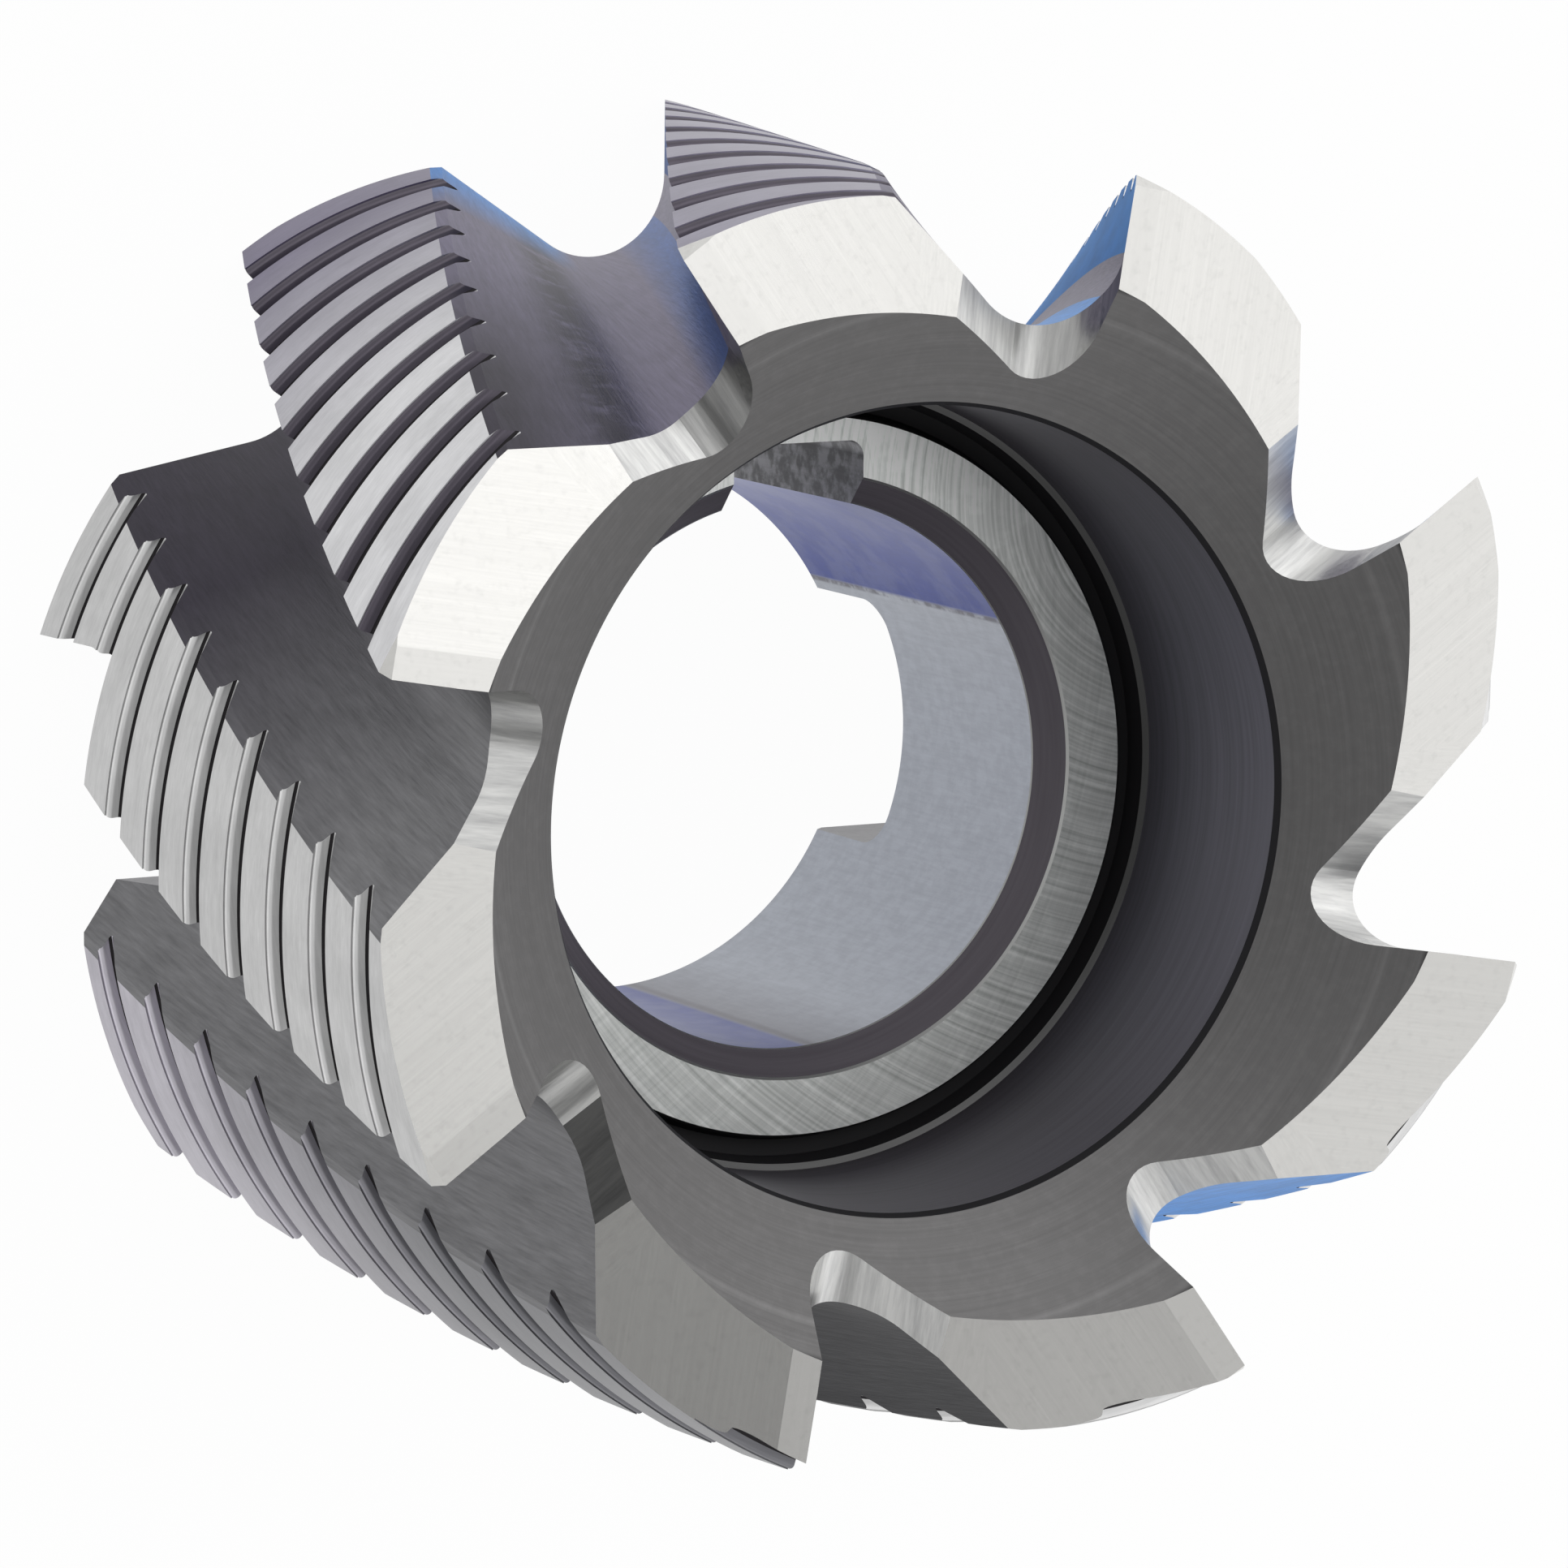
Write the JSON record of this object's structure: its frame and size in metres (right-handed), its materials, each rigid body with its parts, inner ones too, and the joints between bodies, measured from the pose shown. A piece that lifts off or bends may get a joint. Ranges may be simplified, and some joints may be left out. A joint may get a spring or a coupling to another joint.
{
  "type": "shell end mill",
  "caption": "Shell end mill: a short ringed steel cutter with helical grooved teeth, end gashes, a deep counterbore, and a keyed bore with a drive slot across its back.",
  "frame": {"origin": "on the cutter's axis, in the plane of its flat back face", "axes": "+Z along the cutter's axis from the back face to the cutting end, X along the drive slot, +Y towards the keyway"},
  "size_m": [0.063, 0.063, 0.04],
  "materials": {
    "tool_steel": "milled and ground, flutes and cone matt grey, lands and seat bright"
  },
  "bodies": {
    "root": {"shell_end_mill": "tool_steel"}
  },
  "joints": []
}
